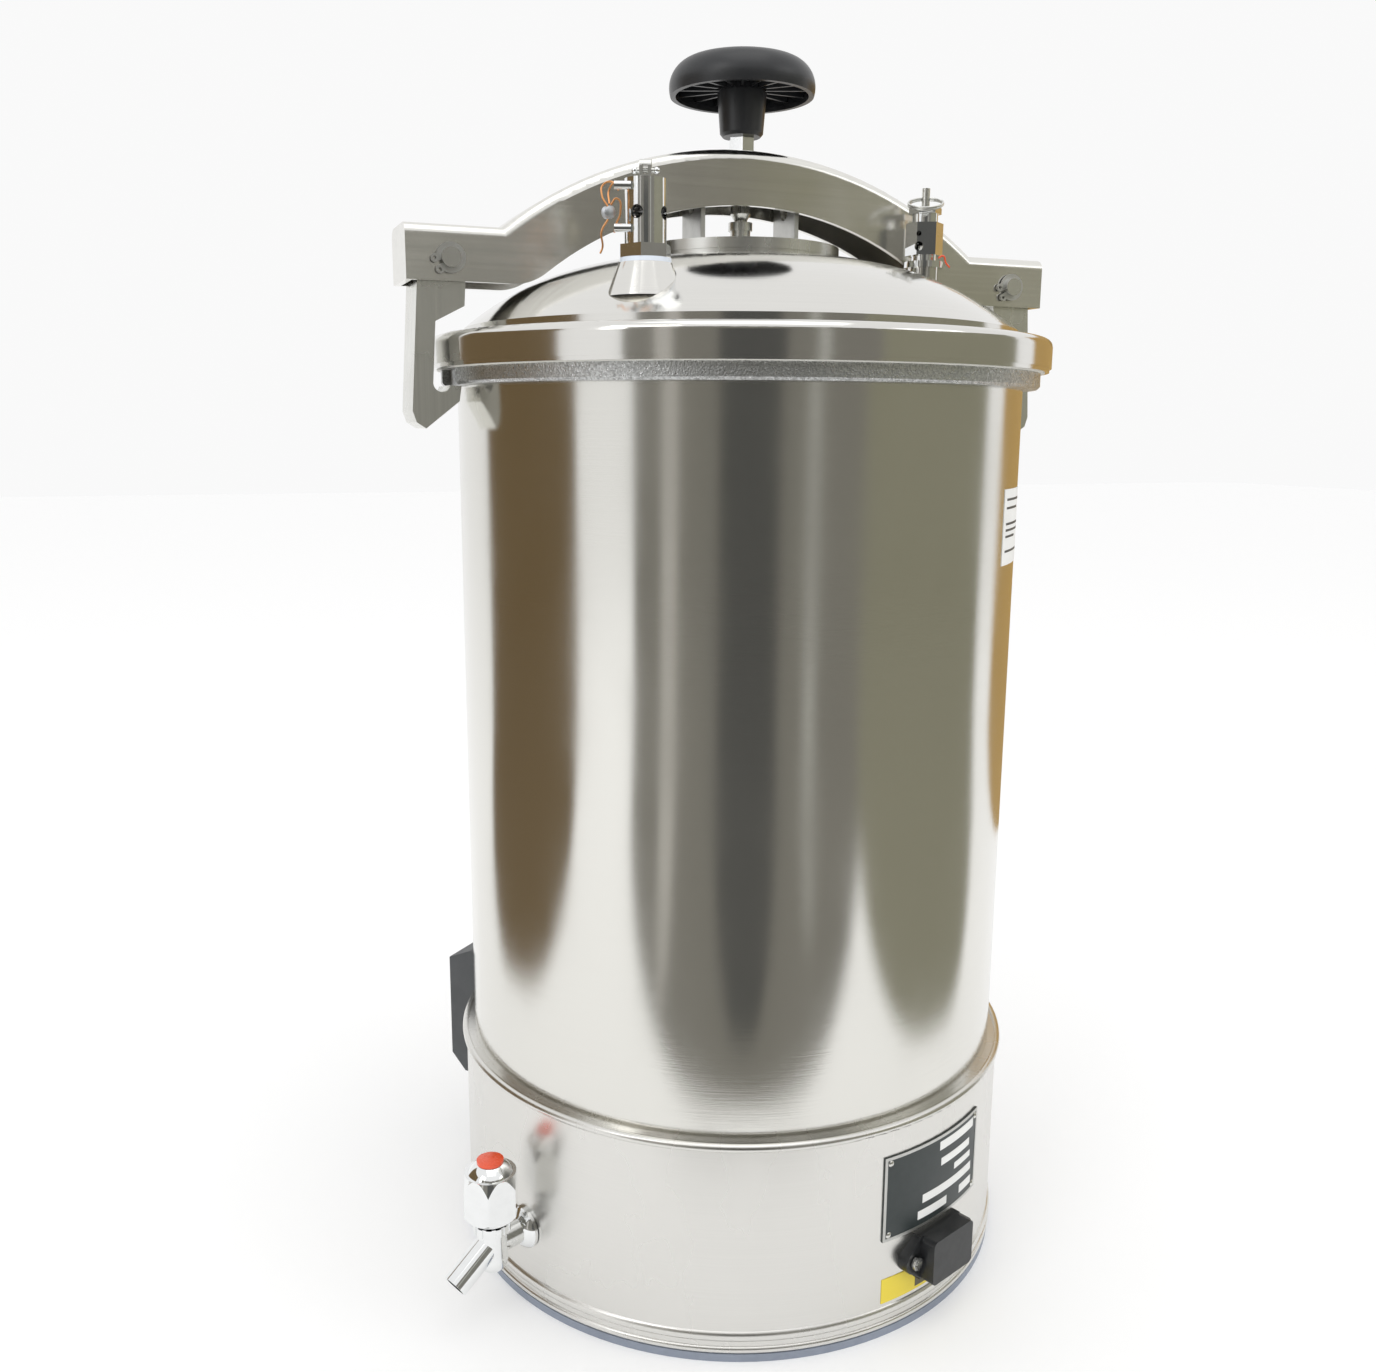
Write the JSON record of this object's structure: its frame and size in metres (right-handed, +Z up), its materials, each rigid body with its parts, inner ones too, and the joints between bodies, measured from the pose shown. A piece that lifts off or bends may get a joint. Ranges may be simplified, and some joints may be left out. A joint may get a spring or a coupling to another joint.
{
  "type": "portable steam pressure vessel",
  "caption": "Free-standing round steel pressure pot with a heated base, a domed lid clamped by a beam, hooks and a hand screw, a drain tap and valves.",
  "frame": {"origin": "centre of the foot ring on the table", "axes": "+Z up, X along the clamping beam, -Y is the front with the mains inlet"},
  "size_m": [0.3484, 0.31, 0.6094],
  "materials": {
    "vessel_steel": "polished stainless sheet",
    "cast_steel": "rough cast stainless",
    "base_steel": "satin stainless sheet",
    "lid_steel": "polished stainless sheet",
    "plain_steel": "machined stainless",
    "polished_steel": "mirror polished steel",
    "tap_chrome": "chrome plate",
    "spring_steel": "blackened spring steel",
    "heater_alloy": "oxidised heater sheath",
    "brass": "machined brass",
    "copper_wire": "copper wire with a lead pellet",
    "aluminium_pin": "bright aluminium",
    "ceramic": "pale ceramic",
    "cable_sleeve": "silicone cable sleeve",
    "black_rubber": "moulded rubber",
    "gasket_rubber": "translucent silicone",
    "knob_plastic": "phenolic moulding",
    "inlet_plastic": "moulded plastic",
    "panel_plastic": "grained plastic",
    "foot_plastic": "moulded plastic",
    "window_dark": "smoked window",
    "board_green": "circuit board",
    "key_pale": "moulded key",
    "key_green": "moulded key",
    "index_orange": "index disc",
    "plate_black": "black enamel plate",
    "strip_yellow": "vinyl film",
    "label_white": "paper label",
    "washer_white": "fluoropolymer washer"
  },
  "bodies": {
    "pot": {"vessel_shell": "vessel_steel", "flange_ring": "cast_steel", "base_housing": "base_steel", "foot_ring": "foot_plastic", "bottom_plate": "base_steel", "support_posts": "plain_steel", "bottom_screws": "plain_steel", "heater_element": "heater_alloy", "heater_glands": "brass", "dry_boil_cutout": "ceramic", "heater_wiring": "cable_sleeve", "drain_pipe": "brass", "rack": "plain_steel", "tap_body": "tap_chrome", "tap_escutcheon": "tap_chrome", "tap_bonnet": "tap_chrome", "mains_inlet": "inlet_plastic", "inlet_pins": "brass", "inlet_screws": "plain_steel", "rating_plate": "plate_black", "plate_rivets": "aluminium_pin", "caution_strip": "strip_yellow", "side_label": "label_white", "control_box": "panel_plastic", "display_window": "window_dark", "circuit_board": "board_green"},
    "basket": {"basket": "plain_steel"},
    "basket_bail": {"basket_handle": "plain_steel"},
    "tap_jumper": {"tap_jumper": "black_rubber"},
    "tap_handle": {"tap_handle": "tap_chrome", "tap_index": "index_orange"},
    "key_set": {"key_set": "key_pale"},
    "key_up": {"key_up": "key_pale"},
    "key_down": {"key_down": "key_pale"},
    "key_start": {"key_start": "key_green"},
    "rocker": {"power_rocker": "inlet_plastic"},
    "lid": {"lid_shell": "lid_steel", "lid_gasket": "gasket_rubber", "clamp_plate": "plain_steel", "plate_pad": "plain_steel", "beam_guides": "plain_steel", "screw_foot": "plain_steel", "valve_bosses": "lid_steel", "safety_body": "tap_chrome", "safety_washer": "washer_white", "safety_spring": "spring_steel", "safety_seal": "copper_wire", "vent_body": "tap_chrome"},
    "screw": {"clamp_screw": "plain_steel", "screw_collar": "polished_steel", "hand_knob": "knob_plastic"},
    "beam": {"beam": "polished_steel", "beam_nut": "plain_steel", "hook_pins": "plain_steel", "pin_clips": "spring_steel"},
    "left_hook": {"left_hook": "polished_steel"},
    "right_hook": {"right_hook": "polished_steel"},
    "safety_stem": {"safety_stem": "polished_steel"},
    "vent_stem": {"vent_stem": "polished_steel"},
    "vent_ring": {"vent_ring": "plain_steel"}
  },
  "joints": [
    {"name": "lid_lift", "type": "slide", "parent": "pot", "child": "lid", "axis": [0, 0, 1], "range_m": [0, 0.16]},
    {"name": "screw_turn", "type": "hinge", "parent": "lid", "child": "screw", "pos_m": [0, 0, 0.55], "axis": [0, 0, 1], "range_deg": [0, 540]},
    {"name": "beam_drop", "type": "slide", "parent": "lid", "child": "beam", "axis": [0, 0, -1], "range_m": [0, 0.00225]},
    {"name": "left_hook_swing", "type": "hinge", "parent": "beam", "child": "left_hook", "pos_m": [-0.1505, 0, 0.506], "axis": [0, 1, 0], "range_deg": [-3.8, 9.5]},
    {"name": "right_hook_swing", "type": "hinge", "parent": "beam", "child": "right_hook", "pos_m": [0.1505, 0, 0.506], "axis": [0, -1, 0], "range_deg": [-3.8, 9.5]},
    {"name": "safety_lift", "type": "slide", "parent": "lid", "child": "safety_stem", "axis": [0, 0, 1], "range_m": [0, 0.002], "stiffness_N_per_m": 3000, "springref_m": -0.002, "deforming": ["safety_spring"]},
    {"name": "vent_lift", "type": "slide", "parent": "lid", "child": "vent_stem", "axis": [0, 0, 1], "range_m": [0, 0.003]},
    {"name": "vent_ring_flip", "type": "hinge", "parent": "vent_stem", "child": "vent_ring", "pos_m": [0.088, -0.031, 0.54475], "axis": [-0.8572, 0.515, 0], "range_deg": [-24, 110]},
    {"name": "tap_turn", "type": "hinge", "parent": "pot", "child": "tap_handle", "pos_m": [-0.15336, -0.0651, 0.06], "axis": [0, 0, 1], "range_deg": [0, 324]},
    {"name": "tap_rise", "type": "slide", "parent": "pot", "child": "tap_jumper", "axis": [0, 0, 1], "range_m": [0, 0.00225]},
    {"name": "basket_lift", "type": "slide", "parent": "pot", "child": "basket", "axis": [0, 0, 1], "range_m": [0, 0.08]},
    {"name": "bail_swing", "type": "hinge", "parent": "basket", "child": "basket_bail", "pos_m": [0, 0, 0.3701], "axis": [-1, 0, 0], "range_deg": [0, 180]},
    {"name": "rocker_tilt", "type": "hinge", "parent": "pot", "child": "rocker", "pos_m": [-0.08738, 0.13182, 0.112], "axis": [0, 0, 1], "range_deg": [0, 10]},
    {"name": "key_set_press", "type": "slide", "parent": "pot", "child": "key_set", "axis": [0.682, -0.7314, 0], "range_m": [0, 0.0015], "stiffness_N_per_m": 400},
    {"name": "key_up_press", "type": "slide", "parent": "pot", "child": "key_up", "axis": [0.682, -0.7314, 0], "range_m": [0, 0.0015], "stiffness_N_per_m": 400},
    {"name": "key_down_press", "type": "slide", "parent": "pot", "child": "key_down", "axis": [0.682, -0.7314, 0], "range_m": [0, 0.0015], "stiffness_N_per_m": 400},
    {"name": "key_start_press", "type": "slide", "parent": "pot", "child": "key_start", "axis": [0.682, -0.7314, 0], "range_m": [0, 0.0015], "stiffness_N_per_m": 400}
  ],
  "couplings": [
    {"joint": "screw_turn", "follows": "beam_drop", "rad_per_m": 4188.8},
    {"joint": "tap_rise", "follows": "tap_turn", "m_per_rad": 0.00039789}
  ]
}
